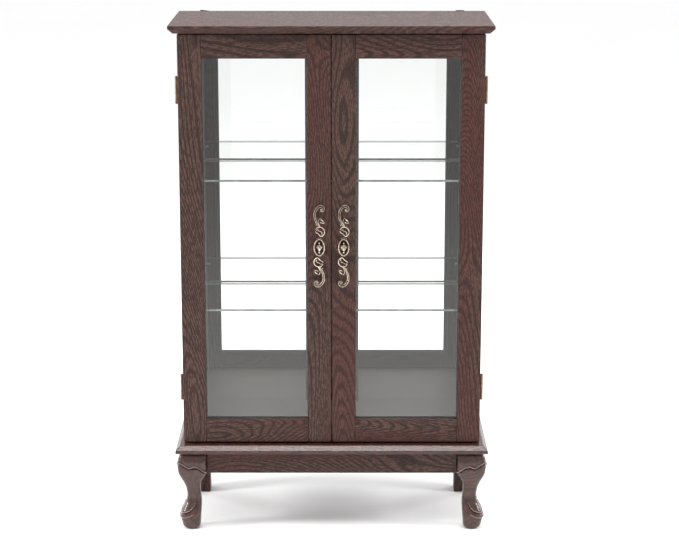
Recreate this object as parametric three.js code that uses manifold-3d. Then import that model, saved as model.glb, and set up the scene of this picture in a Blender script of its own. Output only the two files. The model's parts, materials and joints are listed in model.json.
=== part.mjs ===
// China cabinet with two glazed doors: a flat-packed wooden case on four legs,
// with mirrors inside the back, two glass shelves, and doors on butt hinges.
//
// Millimetres. +Z is up, the doors face -Y, and +X is on the right of someone
// who faces the doors. The origin is on the floor, under the middle of the case.

import * as THREE from 'three';
import { mergeVertices } from 'three/addons/utils/BufferGeometryUtils.js';
import Module from 'manifold-3d';

// ---------------------------------------------------------------- sizes

// Overall: the top board is the widest and deepest piece.
const overallWidth = 600;
const overallDepth = 280;
const overallHeight = 980;
const legHeight = 160;

// Top and base boards, with a chamfer that leaves a plain band at the edge.
const boardThickness = 15;
const edgeBand = 6;
const sideOverhang = 15;
const frontOverhang = 22;

// Case.
const sideThickness = 18;
const sideLip = 5;
const bottomThickness = 12;
const backThickness = 3;
const backCover = 7.5; // how far the back panels reach up the top board's edge
const mirrorThickness = 3;
const battenWidth = 105;
const battenThickness = 15;
const battenRabbet = 8;
const cableHoleDiameter = 32;
const cableHoleDrop = 47; // hole centre below the batten's top end

// Shelves and their pins.
const shelfThickness = 4;
const shelfHeights = [431, 682]; // undersides, above the floor
const shelfSetback = 5; // front edge behind the side panels' front edges
const shelfSideGap = 2;
const pinRadius = 2.5;
const pinDepth = 9;
const pinReach = 8;
const pinCollarRadius = 3.6;
const pinCollarThickness = 1.2;
const pinInset = 32; // pins from the shelf's front and back edges

// Doors.
const doorThickness = 18;
const doorGap = 3; // above and below each door
const centreGap = 2;
const outerGap = 0.5; // door edge inside the case's side
const stileWidth = 44;
const topRailWidth = 44;
const bottomRailWidth = 46;
const glassThickness = 4;
const glassRebate = 8;
const glassLip = 9; // wood in front of the glass

// Hinges: two per door.
const hingeLength = 50;
const hingeInset = 105; // hinge middle from the door's end
const leafThickness = 1.2;
const leafWidth = 16;
const leafGap = 0.6;
const knuckleRadius = 2.8;
const knuckleCount = 3;
const hingePinRadius = 1.2;
const hingePinHead = 2;
const hingePinHeadHeight = 1;

// Pulls: an arched grip between two scroll feet, with a boss in the middle.
const pullLength = 160;
const pullWidth = 22;
const pullHeight = 566; // middle, above the floor
const pullFootThickness = 4;
const pullFootLength = 30;
const gripRadius = 4;
const gripShoulder = [0.84, 0.7]; // shares of the feet's rise and the grip's depth, where it turns in
const gripStraight = 0.5; // share of the feet's rise that stands at full depth
const bossLength = 36;
const bossThickness = 9;

// Magnetic catch under the top board, and a strike plate on each door.
const catchWidth = 46;
const catchDepth = 14;
const catchHeight = 38;
const catchReach = 2.2; // catch face behind the doors' backs
const strikeWidth = 20;
const strikeHeight = 12;
const strikeThickness = 1.5;
const strikeInset = 3; // strike from the door's inner edge

// Legs and aprons.
const rearLegWidth = 38;
const rearLegOutset = 3; // rear leg past the case's side
const rearLegInset = 4; // rear leg from the boards' rear edge
const apronHeight = 45;
const apronThickness = 15;
const rearApronInset = 4; // rear apron in from the rear legs' faces
const legBlock = 43.5; // leg block along the apron, from the case's corner

// Anti-tip straps, each with a wall plug at its free end.
const strapSpacing = 502;
const strapWidth = 16.5;
const strapThickness = 1.4;
const strapScrewDrop = 12; // screw below the top board's top
const strapTilts = { left: 0.09, right: 0 }; // radians, lower end swung out
const plugLeans = { left: -0.65, right: 0.19 }; // radians, lower end swung toward -X, against its strap
const plugRadius = 3.5;
const plugLength = 26;
const plugTipRadius = 2.2;
const plugTipLength = 6.5;
const plugCollarRadius = 4.2;
const plugCollarLength = 1.5;

// Clearances.
const fit = 0.3; // between pieces that are cut to each other
const glassFit = 0.5; // round a pane in its rebate
const overcut = 1; // how far a cutting tool passes the face that it cuts

// Facets.
const roundSides = 16;
const legSides = 24;
const legRings = 20;

// ---------------------------------------------------------------- places

const halfWidth = overallWidth / 2;
const caseHalf = halfWidth - sideOverhang;
const innerHalf = caseHalf - sideThickness;
const rearY = overallDepth / 2;
const frontY = -overallDepth / 2;
const doorFrontY = frontY + frontOverhang;
const doorBackY = doorFrontY + doorThickness;
const hingeSpace = 2 * leafThickness + leafGap;
const caseFrontY = doorBackY + hingeSpace;
const caseBottom = legHeight + boardThickness;
const caseTop = overallHeight - boardThickness;
const floorTop = caseBottom + bottomThickness;
const battenHalf = battenWidth / 2;
const battenFace = battenHalf - battenRabbet;
const battenFrontY = rearY - battenThickness;
const shelfFrontY = caseFrontY + shelfSetback;
const shelfBackY = battenFrontY - 2 * fit;
const hingeX = caseHalf + knuckleRadius + fit;
const hingeY = doorBackY + hingeSpace / 2;
const doorBottom = caseBottom + doorGap;
const doorTop = caseTop - doorGap;
const doorInner = centreGap / 2;
const doorOuter = caseHalf - outerGap;
const windowInner = doorInner + stileWidth;
const windowOuter = doorOuter - stileWidth;
const windowBottom = doorBottom + bottomRailWidth;
const windowTop = doorTop - topRailWidth;
const hingeHeights = [doorBottom + hingeInset, doorTop - hingeInset];
const pullReach = frontOverhang - fit; // the pulls stand out as far as the top board

// ---------------------------------------------------------------- materials

function finish(color, roughness, metalness = 0) {
  return new THREE.MeshStandardMaterial({ color, roughness, metalness });
}

const wood = () => finish(0x4a332c, 0.4);
const laminate = () => finish(0x8a8683, 0.5);
const backboard = () => finish(0x54402f, 0.6);
const brass = () => finish(0x8a6b3c, 0.35, 0.9);
const bronze = () => finish(0x5c4a34, 0.4, 0.8);
const steel = () => finish(0xb8bcc0, 0.3, 0.9);
const webbing = () => finish(0x1c1c1e, 0.8);
const plastic = () => finish(0xd8d4c8, 0.5);
const silvered = () => finish(0xd8dde0, 0.05, 1);

function glass() {
  const pane = finish(0xdfeee8, 0.05);
  pane.transparent = true;
  pane.opacity = 0.25;
  return pane;
}

// ---------------------------------------------------------------- solids

const wasm = await Module();
wasm.setup();

const mergeTolerance = 1e-4;

function toSolid(geometry) {
  const bare = geometry.clone();
  bare.deleteAttribute('normal');
  bare.deleteAttribute('uv');
  const merged = mergeVertices(bare, mergeTolerance);
  return new wasm.Manifold(new wasm.Mesh({
    numProp: 3,
    vertProperties: merged.attributes.position.array,
    triVerts: new Uint32Array(merged.index.array),
  }));
}

function toGeometry(solid) {
  const mesh = solid.getMesh();
  const geometry = new THREE.BufferGeometry();
  geometry.setAttribute('position', new THREE.BufferAttribute(mesh.vertProperties, 3));
  geometry.setIndex(new THREE.BufferAttribute(mesh.triVerts, 1));
  geometry.computeVertexNormals();
  return geometry;
}

function cut(base, ...tools) {
  let solid = toSolid(base);
  for (const tool of tools) {
    solid = solid.subtract(toSolid(tool));
  }
  return toGeometry(solid);
}

function join(first, ...others) {
  let solid = toSolid(first);
  for (const other of others) {
    solid = solid.add(toSolid(other));
  }
  return toGeometry(solid);
}

// A block between two corners, given in any order along each axis.
function block([xa, xb], [ya, yb], [za, zb]) {
  const low = new THREE.Vector3(Math.min(xa, xb), Math.min(ya, yb), Math.min(za, zb));
  const high = new THREE.Vector3(Math.max(xa, xb), Math.max(ya, yb), Math.max(za, zb));
  const geometry = new THREE.BoxGeometry(1, 1, 1);
  const corners = geometry.attributes.position;
  for (let i = 0; i < corners.count; i += 1) {
    corners.setXYZ(
      i,
      corners.getX(i) < 0 ? low.x : high.x,
      corners.getY(i) < 0 ? low.y : high.y,
      corners.getZ(i) < 0 ? low.z : high.z,
    );
  }
  return geometry;
}

// A body turned about an upright axis; the outline gives [radius, height] pairs.
function turned(outline) {
  const points = outline.map(([radius, height]) => new THREE.Vector2(radius, height));
  return new THREE.LatheGeometry(points, roundSides).rotateX(Math.PI / 2);
}

// The other hand of a shape, mirrored across the middle of the cabinet.
function otherHand(geometry) {
  const flipped = mergeVertices(geometry, mergeTolerance).clone().scale(-1, 1, 1);
  const index = flipped.index.array;
  for (let i = 0; i < index.length; i += 3) {
    [index[i], index[i + 2]] = [index[i + 2], index[i]];
  }
  return flipped;
}

const cabinet = new THREE.Group();

function add(parent, name, geometry, material) {
  const mesh = new THREE.Mesh(geometry, material);
  mesh.name = name;
  parent.add(mesh);
  return mesh;
}

const hands = [['left', -1], ['right', 1]];

// ---------------------------------------------------------------- boards

// A board with a chamfer round its front and both ends, on its lower or upper
// face. The rear edge is plain, so the moulding's section shows at each end.
function mouldedBoard(bottom, chamferIsBelow) {
  const top = bottom + boardThickness;
  const chamfer = boardThickness - edgeBand;
  const middle = chamferIsBelow ? bottom + chamfer : top - chamfer;
  const geometry = new THREE.BoxGeometry(1, 1, 1, 1, 1, 2);
  const corners = geometry.attributes.position;
  for (let i = 0; i < corners.count; i += 1) {
    const level = Math.sign(corners.getZ(i));
    const inset = level === (chamferIsBelow ? -1 : 1) ? chamfer : 0;
    corners.setXYZ(
      i,
      Math.sign(corners.getX(i)) * (halfWidth - inset),
      corners.getY(i) < 0 ? frontY + inset : rearY,
      [bottom, middle, top][level + 1],
    );
  }
  return geometry;
}

function topBoard() {
  const rebates = hands.map(([, hand]) => block(
    [hand * battenFace, hand * (caseHalf - sideLip)],
    [rearY - backThickness - fit, rearY + overcut],
    [caseTop - overcut, caseTop + backCover],
  ));
  return cut(mouldedBoard(caseTop, true), ...rebates);
}

add(cabinet, 'top_board', topBoard(), wood());
add(cabinet, 'base_board', mouldedBoard(legHeight, false), wood());

// ---------------------------------------------------------------- case

const pinPlaces = [];
for (const [level, height] of [['lower', shelfHeights[0]], ['upper', shelfHeights[1]]]) {
  for (const [row, y] of [['front', shelfFrontY + pinInset], ['rear', shelfBackY - pinInset]]) {
    pinPlaces.push({ level, row, y, z: height - pinRadius - fit });
  }
}

function sidePanel(hand) {
  const panel = block([hand * innerHalf, hand * caseHalf], [caseFrontY, rearY], [caseBottom, caseTop]);
  const rebate = block(
    [hand * (innerHalf - overcut), hand * (caseHalf - sideLip)],
    [rearY - backThickness - fit, rearY + overcut],
    [caseBottom - overcut, caseTop + overcut],
  );
  const holes = pinPlaces.map(({ y, z }) => {
    const length = pinDepth + fit + overcut;
    const hole = new THREE.CylinderGeometry(pinRadius + fit, pinRadius + fit, length, roundSides);
    return hole.rotateZ(Math.PI / 2).translate(hand * (innerHalf - overcut + length / 2), y, z);
  });
  return cut(panel, rebate, ...holes);
}

function bottomPanel() {
  const rebates = hands.map(([, hand]) => block(
    [hand * battenFace, hand * (innerHalf + overcut)],
    [rearY - backThickness - fit, rearY + overcut],
    [caseBottom - overcut, floorTop + overcut],
  ));
  return cut(block([-innerHalf, innerHalf], [caseFrontY, rearY], [caseBottom, floorTop]), ...rebates);
}

function backBatten() {
  const rebates = hands.map(([, hand]) => block(
    [hand * battenFace, hand * (battenHalf + overcut)],
    [rearY - backThickness - fit, rearY + overcut],
    [floorTop - overcut, caseTop + overcut],
  ));
  const holeRadius = cableHoleDiameter / 2;
  const holeLength = battenThickness + 2 * overcut;
  const hole = new THREE.CylinderGeometry(holeRadius, holeRadius, holeLength, 2 * roundSides);
  hole.translate(0, rearY - battenThickness / 2, caseTop - cableHoleDrop);
  const batten = block([-battenHalf, battenHalf], [battenFrontY, rearY], [floorTop, caseTop]);
  return cut(batten, ...rebates, hole);
}

add(cabinet, 'bottom_panel', bottomPanel(), laminate());
add(cabinet, 'back_batten', backBatten(), wood());

for (const [side, hand] of hands) {
  add(cabinet, `${side}_side_panel`, sidePanel(hand), wood());

  const backPanel = block(
    [hand * (battenFace + fit), hand * (caseHalf - sideLip - fit)],
    [rearY - backThickness, rearY],
    [caseBottom, caseTop + backCover - fit],
  );
  add(cabinet, `${side}_back_panel`, backPanel, backboard());

  const mirrorBackY = rearY - backThickness - fit;
  const mirror = block(
    [hand * (battenHalf + fit), hand * (innerHalf - fit)],
    [mirrorBackY - mirrorThickness, mirrorBackY],
    [floorTop, caseTop - fit],
  );
  add(cabinet, `${side}_mirror`, mirror, silvered());
}

// ---------------------------------------------------------------- shelves

for (const [level, height] of [['lower', shelfHeights[0]], ['upper', shelfHeights[1]]]) {
  const half = innerHalf - shelfSideGap;
  const shelf = block([-half, half], [shelfFrontY, shelfBackY], [height, height + shelfThickness]);
  add(cabinet, `${level}_glass_shelf`, shelf, glass());
}

function shelfPin() {
  return turned([
    [0, 0],
    [pinRadius, 0],
    [pinRadius, pinDepth],
    [pinCollarRadius, pinDepth],
    [pinCollarRadius, pinDepth + pinCollarThickness],
    [pinRadius, pinDepth + pinCollarThickness],
    [pinRadius, pinDepth + pinReach],
    [0, pinDepth + pinReach],
  ]);
}

for (const { level, row, y, z } of pinPlaces) {
  for (const [side, hand] of hands) {
    const pin = add(cabinet, `${level}_${row}_${side}_shelf_pin`, shelfPin(), steel());
    pin.position.set(hand * (innerHalf - fit + pinDepth), y, z);
    pin.rotation.y = -hand * Math.PI / 2;
  }
}

// ---------------------------------------------------------------- catch

function magneticCatch() {
  const top = caseTop;
  const bottom = caseTop - catchHeight;
  const back = doorBackY + catchReach + catchDepth;
  const body = block(
    [-catchWidth / 2, catchWidth / 2],
    [doorBackY + catchReach, back],
    [bottom, top],
  );
  const notchWidth = catchWidth / 10;
  const notch = block(
    [-notchWidth / 2, notchWidth / 2],
    [doorBackY, doorBackY + catchReach + catchDepth / 3],
    [bottom - overcut, top - catchHeight / 4],
  );
  return cut(body, notch);
}

add(cabinet, 'magnetic_catch', magneticCatch(), steel());

// ---------------------------------------------------------------- legs

// The front leg's outline, from the floor up: [share of the leg's height, how
// far the outer face stands past the case's corner, how far the inner face is
// inside it]. Each ring is a rounded square, centred on the corner's diagonal.
const legOutline = [
  [0, 3, 29],
  [0.08, 6, 30],
  [0.18, 9, 31],
  [0.27, 4, 32],
  [0.35, -2, 32],
  [0.42, -4, 31],
  [0.52, -2, 30],
  [0.6, 3, 32],
  [0.67, 8, 38],
  [0.73, 11.5, legBlock],
  [0.86, 13.5, legBlock],
  [0.94, 10, legBlock],
  [1, 5, legBlock],
];
const squareAtAnkle = 2.6; // exponents of the rounded square
const squareAtBlock = 7;
const blockStart = 0.6;
const blockFull = 0.75;

function legFaces(share) {
  const next = legOutline.findIndex(([height]) => height >= share && height > 0);
  const [lowShare, lowOuter, lowInner] = legOutline[next - 1];
  const [highShare, highOuter, highInner] = legOutline[next];
  const along = (share - lowShare) / (highShare - lowShare);
  return [
    THREE.MathUtils.lerp(lowOuter, highOuter, along),
    THREE.MathUtils.lerp(lowInner, highInner, along),
  ];
}

function cabrioleLeg() {
  const geometry = new THREE.CylinderGeometry(1, 1, 1, legSides, legRings);
  const points = geometry.attributes.position;
  for (let i = 0; i < points.count; i += 1) {
    const share = points.getY(i) + 0.5;
    const [outer, inner] = legFaces(share);
    const reach = Math.hypot(points.getX(i), points.getZ(i));
    const angle = Math.atan2(-points.getZ(i), points.getX(i));
    const squareness = THREE.MathUtils.lerp(
      squareAtAnkle,
      squareAtBlock,
      THREE.MathUtils.smoothstep(share, blockStart, blockFull),
    );
    const round = Math.abs(Math.cos(angle)) ** squareness + Math.abs(Math.sin(angle)) ** squareness;
    const radius = reach * ((outer + inner) / 2) * round ** (-1 / squareness);
    const middle = (inner - outer) / 2;
    points.setXYZ(
      i,
      -caseHalf + middle + radius * Math.cos(angle),
      doorFrontY + middle + radius * Math.sin(angle),
      legHeight * share,
    );
  }
  return geometry;
}

add(cabinet, 'left_front_leg', cabrioleLeg(), wood());
add(cabinet, 'right_front_leg', otherHand(cabrioleLeg()), wood());

const rearLegOuter = caseHalf + rearLegOutset;
const rearLegInner = rearLegOuter - rearLegWidth;
const rearLegBackY = rearY - rearLegInset;
const rearLegFrontY = rearLegBackY - rearLegWidth;

for (const [side, hand] of hands) {
  const leg = block([hand * rearLegInner, hand * rearLegOuter], [rearLegFrontY, rearLegBackY], [0, legHeight]);
  add(cabinet, `${side}_rear_leg`, leg, wood());

  const apron = block(
    [hand * caseHalf, hand * (caseHalf - apronThickness)],
    [doorFrontY + legBlock + fit, rearLegFrontY],
    [legHeight - apronHeight, legHeight],
  );
  add(cabinet, `${side}_apron`, apron, wood());
}

const frontApronHalf = caseHalf - legBlock - fit;
const frontApron = block(
  [-frontApronHalf, frontApronHalf],
  [doorFrontY, doorFrontY + apronThickness],
  [legHeight - apronHeight, legHeight],
);
add(cabinet, 'front_apron', frontApron, wood());

const rearApron = block(
  [-rearLegInner, rearLegInner],
  [rearLegBackY - rearApronInset - apronThickness, rearLegBackY - rearApronInset],
  [legHeight - apronHeight, legHeight],
);
add(cabinet, 'rear_apron', rearApron, wood());

// ---------------------------------------------------------------- hinges

const knuckleLength = hingeLength / knuckleCount;

// One leaf, about the hinge's axis and its lower end. The frame leaf carries
// the outer knuckles and lies on the case; the door leaf carries the middle one.
function hingeLeaf(hand, isFrameLeaf) {
  const near = leafGap / 2;
  const far = near + leafThickness;
  const facing = isFrameLeaf ? 1 : -1;
  const plate = block([0, -hand * (hingeX - caseHalf + leafWidth)], [facing * near, facing * far], [0, hingeLength]);
  const barrel = new THREE.CylinderGeometry(knuckleRadius, knuckleRadius, hingeLength, roundSides);
  barrel.rotateX(Math.PI / 2).translate(0, 0, hingeLength / 2);
  const boreRadius = hingePinRadius + fit;
  const bore = new THREE.CylinderGeometry(boreRadius, boreRadius, hingeLength + 2 * overcut, roundSides);
  bore.rotateX(Math.PI / 2).translate(0, 0, hingeLength / 2);
  const clearance = knuckleRadius + fit;
  const gaps = [];
  for (let i = 0; i < knuckleCount; i += 1) {
    const carriesThis = (i % 2 === 0) === isFrameLeaf;
    if (!carriesThis) {
      const below = i === 0 ? overcut : fit;
      const above = i === knuckleCount - 1 ? overcut : fit;
      gaps.push(block(
        [-clearance, clearance],
        [-clearance, clearance],
        [i * knuckleLength - below, (i + 1) * knuckleLength + above],
      ));
    }
  }
  return cut(join(plate, barrel), bore, ...gaps);
}

function hingePin() {
  const head = hingePinHead;
  const bottom = -fit;
  const top = hingeLength + fit;
  return turned([
    [0, bottom - hingePinHeadHeight],
    [head, bottom - hingePinHeadHeight],
    [head, bottom],
    [hingePinRadius, bottom],
    [hingePinRadius, top],
    [head, top],
    [head, top + hingePinHeadHeight],
    [0, top + hingePinHeadHeight],
  ]);
}

// ---------------------------------------------------------------- pulls

// A pull about its middle, on the door's face, standing out along -Y.
function doorPull() {
  const footRise = pullLength / 2 - pullFootLength / 2;
  const feet = [-1, 1].map((end) => {
    const foot = new THREE.CylinderGeometry(1, 1, pullFootThickness, roundSides);
    foot.scale(pullWidth / 2, 1, pullFootLength / 2);
    return foot.translate(0, -pullFootThickness / 2, end * footRise);
  });
  const gripDepth = pullReach - bossThickness / 2;
  const [shoulderRise, shoulderDepth] = gripShoulder;
  const arch = [
    [footRise, pullFootThickness / 2],
    [footRise * shoulderRise, gripDepth * shoulderDepth],
    [footRise * gripStraight, gripDepth],
    [0, gripDepth],
    [-footRise * gripStraight, gripDepth],
    [-footRise * shoulderRise, gripDepth * shoulderDepth],
    [-footRise, pullFootThickness / 2],
  ];
  const route = new THREE.CatmullRomCurve3(arch.map(([rise, depth]) => new THREE.Vector3(0, -depth, rise)));
  const section = new THREE.Shape().absarc(0, 0, gripRadius, 0, 2 * Math.PI);
  const grip = new THREE.ExtrudeGeometry(section, {
    steps: 2 * roundSides,
    curveSegments: roundSides / 4,
    extrudePath: route,
  });
  const boss = new THREE.SphereGeometry(1, roundSides, roundSides / 2);
  boss.rotateX(Math.PI / 2).scale(pullWidth / 2, bossThickness / 2, bossLength / 2);
  boss.translate(0, -gripDepth, 0);
  const behind = block(
    [-pullWidth, pullWidth],
    [0, pullReach],
    [-pullLength, pullLength],
  );
  return cut(join(grip, boss, ...feet), behind);
}

// ---------------------------------------------------------------- doors

function glazedDoor(side, hand) {
  const door = new THREE.Group();
  door.position.set(hand * hingeX, hingeY, 0);
  const local = (geometry) => geometry.translate(-hand * hingeX, -hingeY, 0);
  const piece = (across, depth, height) => block(across.map((x) => hand * x), depth, height);
  const thickness = [doorFrontY, doorBackY];
  const glassFrontY = doorFrontY + glassLip;
  const rebate = () => piece(
    [windowInner - glassRebate, windowOuter + glassRebate],
    [glassFrontY, doorBackY + overcut],
    [windowBottom - glassRebate, windowTop + glassRebate],
  );

  const frame = {
    inner_stile: piece([doorInner, windowInner], thickness, [doorBottom, doorTop]),
    outer_stile: piece([windowOuter, doorOuter], thickness, [doorBottom, doorTop]),
    top_rail: piece([windowInner, windowOuter], thickness, [windowTop, doorTop]),
    bottom_rail: piece([windowInner, windowOuter], thickness, [doorBottom, windowBottom]),
  };
  for (const [name, geometry] of Object.entries(frame)) {
    add(door, `${side}_door_${name}`, local(cut(geometry, rebate())), wood());
  }

  const paneInset = glassRebate - glassFit;
  const pane = piece(
    [windowInner - paneInset, windowOuter + paneInset],
    [glassFrontY + fit, glassFrontY + fit + glassThickness],
    [windowBottom - paneInset, windowTop + paneInset],
  );
  add(door, `${side}_door_glass`, local(pane), glass());

  const strike = piece(
    [doorInner + strikeInset, doorInner + strikeInset + strikeWidth],
    [doorBackY, doorBackY + strikeThickness],
    [doorTop - strikeHeight, doorTop],
  );
  add(door, `${side}_strike_plate`, local(strike), steel());

  const pull = add(door, `${side}_pull`, doorPull(), bronze());
  pull.position.set(hand * (doorInner + stileWidth / 2 - hingeX), doorFrontY - fit - hingeY, pullHeight);

  const leaves = [['lower', hingeHeights[0]], ['upper', hingeHeights[1]]];
  for (const [level, height] of leaves) {
    const bottom = height - hingeLength / 2;
    const doorLeaf = add(door, `${level}_${side}_hinge_door_leaf`, hingeLeaf(hand, false), brass());
    doorLeaf.position.z = bottom;
    const frameLeaf = add(cabinet, `${level}_${side}_hinge_frame_leaf`, hingeLeaf(hand, true), brass());
    frameLeaf.position.set(hand * hingeX, hingeY, bottom);
    const pin = add(cabinet, `${level}_${side}_hinge_pin`, hingePin(), brass());
    pin.position.set(hand * hingeX, hingeY, bottom);
  }
  return door;
}

for (const [side, hand] of hands) {
  cabinet.add(glazedDoor(side, hand));
}

// ---------------------------------------------------------------- straps

// Heights from the strap's screw and distances off the back, along the webbing.
const strapRoute = [
  [13, 1],
  [0, 1],
  [-20, 1.4],
  [-48, 2.6],
  [-80, 3.4],
  [-115, 3.1],
  [-152, 2.4],
];
const plugStart = -159;
const plugOffset = plugRadius + 1;

function strapBand() {
  const points = strapRoute.map(([height, offset]) => new THREE.Vector3(0, offset, height));
  const section = new THREE.Shape();
  section.moveTo(-strapWidth / 2, -strapThickness / 2);
  section.lineTo(strapWidth / 2, -strapThickness / 2);
  section.lineTo(strapWidth / 2, strapThickness / 2);
  section.lineTo(-strapWidth / 2, strapThickness / 2);
  return new THREE.ExtrudeGeometry(section, {
    steps: roundSides,
    extrudePath: new THREE.CatmullRomCurve3(points),
  });
}

// A wall plug about the middle of its collar's top, pointing down.
function wallPlug() {
  return turned([
    [0, -plugLength],
    [plugTipRadius, -plugLength],
    [plugRadius, plugTipLength - plugLength],
    [plugRadius, -plugCollarLength],
    [plugCollarRadius, -plugCollarLength],
    [plugCollarRadius, 0],
    [0, 0],
  ]);
}

for (const [side, hand] of hands) {
  const strap = new THREE.Group();
  strap.position.set(hand * strapSpacing / 2, rearY, overallHeight - strapScrewDrop);
  strap.rotation.y = -hand * strapTilts[side];
  add(strap, `${side}_strap`, strapBand(), webbing());
  const plug = add(strap, `${side}_wall_plug`, wallPlug(), plastic());
  plug.position.set(0, plugOffset, plugStart);
  plug.rotation.y = plugLeans[side];
  cabinet.add(strap);
}

export default cabinet;
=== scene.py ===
import json
import math

import bmesh
import bpy
from bpy.props import FloatProperty, FloatVectorProperty, IntProperty, PointerProperty
from mathutils import Matrix, Vector


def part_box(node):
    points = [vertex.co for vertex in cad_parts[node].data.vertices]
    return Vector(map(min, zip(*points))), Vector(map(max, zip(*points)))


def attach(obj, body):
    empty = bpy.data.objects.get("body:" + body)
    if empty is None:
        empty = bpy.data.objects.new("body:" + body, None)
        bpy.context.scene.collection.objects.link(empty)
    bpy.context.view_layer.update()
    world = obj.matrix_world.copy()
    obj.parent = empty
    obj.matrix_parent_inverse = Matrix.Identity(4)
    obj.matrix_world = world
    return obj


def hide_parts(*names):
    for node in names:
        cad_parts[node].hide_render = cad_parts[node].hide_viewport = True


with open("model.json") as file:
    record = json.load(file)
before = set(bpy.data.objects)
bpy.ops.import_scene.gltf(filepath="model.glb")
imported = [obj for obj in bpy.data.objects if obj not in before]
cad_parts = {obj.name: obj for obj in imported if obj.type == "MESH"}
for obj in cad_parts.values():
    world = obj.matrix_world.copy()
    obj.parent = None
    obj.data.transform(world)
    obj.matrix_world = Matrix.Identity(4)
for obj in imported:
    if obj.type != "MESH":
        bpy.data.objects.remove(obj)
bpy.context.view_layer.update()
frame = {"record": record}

bl_info = {
    "name": "China Cabinet",
    "version": (1, 0, 0),
    "blender": (4, 5, 0),
    "location": "3D View > Sidebar > Cabinet",
    "description": "Builds the visible pieces and finishes of a glazed china cabinet",
    "category": "Object",
}

MM = 0.001
SIDES = (("left", -1), ("right", 1))
LEVELS = ("lower", "upper")
BODIES = {node: body for body, nodes in frame["record"]["behaviour"]["bodies"].items() for node in nodes}


# ------------------------------------------------------------------ settings

def colour(name, description, default):
    return FloatVectorProperty(
        name=name, description=description, default=default, subtype="COLOR", size=3, min=0, max=1)


def length(name, description, default):
    return FloatProperty(
        name=name, description=description, default=default, subtype="DISTANCE", unit="LENGTH")


class CabinetFinishes(bpy.types.PropertyGroup):
    """Colours of the cabinet's finishes."""

    stain_dark: colour("Dark stain", "Wood colour in the dense late grain", (0.011, 0.0045, 0.0038))
    stain_light: colour("Light stain", "Wood colour in the open early grain", (0.074, 0.038, 0.030))
    stain_red: colour("Red stain", "Wood colour in the redder patches", (0.070, 0.0215, 0.0165))
    pore: colour("Pores", "Colour deep in the open pores", (0.008, 0.0035, 0.003))
    # Painted highlight: a paler wood colour laid along the convex edges of the carved legs.
    painted_highlight: colour("Rubbed edge", "Wood colour along carved edges", (0.42, 0.32, 0.29))
    laminate: colour("Laminate", "Case floor colour", (0.13, 0.108, 0.096))
    brass: colour("Brass", "Hinge metal", (0.30, 0.185, 0.115))
    # The dark bronze is the patina in the pull's hollows and also painted shade on relief faces turned aside;
    # the pale bronze is a painted highlight on faces turned to the front, partly the rubbed finish.
    bronze_patina_and_shade: colour("Dark bronze", "Pull metal in the recesses", (0.030, 0.018, 0.011))
    bronze_rubbed_highlight: colour("Rubbed bronze", "Pull metal on the rubbed ridges", (0.88, 0.75, 0.60))
    steel: colour("Steel", "Bright plated steel", (0.56, 0.56, 0.54))
    webbing: colour("Webbing", "Strap yarn", (0.0065, 0.0062, 0.0060))
    plug: colour("Wall plug", "Pale moulded plastic", (0.46, 0.43, 0.385))
    bead: colour("Glazing bead", "Extruded bead round the panes", (0.028, 0.028, 0.026))
    label_band: colour("Label band", "Printed band on the label", (0.40, 0.150, 0.052))
    label_print: colour("Label print", "Grey printed bars on the label", (0.19, 0.18, 0.20))


class CabinetJoinery(bpy.types.PropertyGroup):
    """Sizes of edges, beads and grain."""

    board_edge: length("Board edge", "Rounding along the edges of boards", 0.0012)
    moulded_edge: length("Moulded edge", "Rounding along the top and base boards", 0.0012)
    glass_edge: length("Glass edge", "Polished rounding on glass edges", 0.0006)
    bead_show: length("Bead show", "How far the glazing bead shows inside the window", 0.0012)
    grain_stretch: FloatProperty(
        name="Grain stretch", description="Length of the fine grain over its width", default=5.0, min=1)
    figure_stretch: FloatProperty(
        name="Figure stretch", description="Length of the broad figure over its width", default=5.0, min=1)
    figure_rings: FloatProperty(
        name="Figure rings", description="Growth rings across a fully figured board", default=92.0, min=1)


class CabinetHardware(bpy.types.PropertyGroup):
    """Sizes of screws and other fittings."""

    batten_screw: length("Batten screw", "Radius of the pan heads on the back batten", 0.0072)
    batten_screw_spacing: length("Batten screw spacing", "Between the two heads of a pair", 0.059)
    panel_pin: length("Panel pin", "Radius of the small heads round the back panels", 0.0021)
    leaf_screw: length("Leaf screw", "Radius of the hinge leaf screws", 0.0024)
    washer: length("Strap washer", "Outer radius of the washers on the straps", 0.0056)
    strand: length("Pull strand", "Radius of the pull's cast strands", 0.00165)
    turning_sides: IntProperty(
        name="Turning sides", description="Facets round turned metal", default=32, min=8)


class CabinetStage(bpy.types.PropertyGroup):
    """Camera, floor and light."""

    camera_distance: length("Camera distance", "From the lens to the plane of the doors", 3.64)
    camera_height: length("Camera height", "Lens above the floor", 1.368)
    camera_side: length("Camera side", "Lens to the right of the cabinet's middle", 0.015)
    camera_tilt: FloatProperty(
        name="Camera tilt", description="How far the lens looks down",
        default=math.radians(13.1), subtype="ANGLE")
    focal_length: FloatProperty(
        name="Focal length", description="Lens, in millimetres", default=105.0, min=10)
    floor_size: length("Floor size", "Edge of the square floor", 60.0)
    floor_colour: colour("Floor", "Pale studio floor", (0.92, 0.92, 0.92))
    sky: FloatProperty(
        name="Sky strength", description="Even white light from all round", default=1.06, min=0)


# ------------------------------------------------------------------ finishes

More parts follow.
